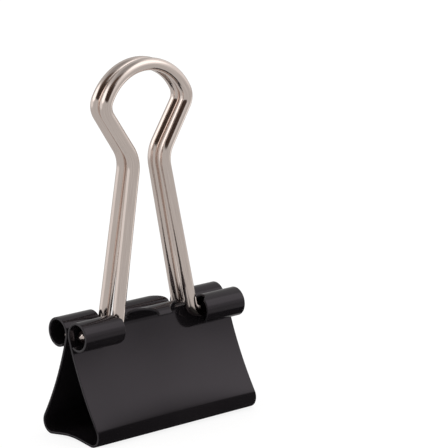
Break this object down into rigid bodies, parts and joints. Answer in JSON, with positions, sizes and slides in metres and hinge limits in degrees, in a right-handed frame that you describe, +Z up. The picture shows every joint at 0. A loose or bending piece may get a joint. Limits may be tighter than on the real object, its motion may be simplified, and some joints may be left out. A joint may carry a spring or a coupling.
{
  "type": "binder clip",
  "caption": "Foldback binder clip: a black enamelled spring-steel triangular body with rolled jaw edges, and keyhole wire handles that swing in the rolls.",
  "frame": {"origin": "on the surface that the clip stands on, under the middle of its base", "axes": "+X along the jaws to the right, +Y from the front jaw to the rear jaw, +Z up from the base through the jaw line to the handles' heads"},
  "size_m": [0.032, 0.0142, 0.0581],
  "materials": {
    "enamel": "smooth black stove enamel on spring steel, semi-gloss",
    "nickel": "bright nickel plating on round drawn wire, slightly warm"
  },
  "bodies": {
    "spine": {"spine": "enamel"},
    "front_jaw": {"front_jaw": "enamel"},
    "rear_jaw": {"rear_jaw": "enamel"},
    "front_handle": {"front_handle": "nickel"},
    "rear_handle": {"rear_handle": "nickel"}
  },
  "joints": [
    {"name": "front_jaw_flex", "type": "hinge", "parent": "spine", "child": "front_jaw", "pos_m": [0, -0.00657, 0.00091], "axis": [1, 0, 0], "range_deg": [0, 24], "stiffness_Nm_per_rad": 0.5},
    {"name": "rear_jaw_flex", "type": "hinge", "parent": "spine", "child": "rear_jaw", "pos_m": [0, 0.00657, 0.00091], "axis": [-1, 0, 0], "range_deg": [0, 24], "stiffness_Nm_per_rad": 0.5},
    {"name": "front_handle_swing", "type": "hinge", "parent": "front_jaw", "child": "front_handle", "pos_m": [0, -0.0017, 0.01661], "axis": [1, 0, 0], "range_deg": [0, 155]},
    {"name": "rear_handle_swing", "type": "hinge", "parent": "rear_jaw", "child": "rear_handle", "pos_m": [0, 0.0017, 0.01661], "axis": [-1, 0, 0], "range_deg": [0, 155]}
  ]
}
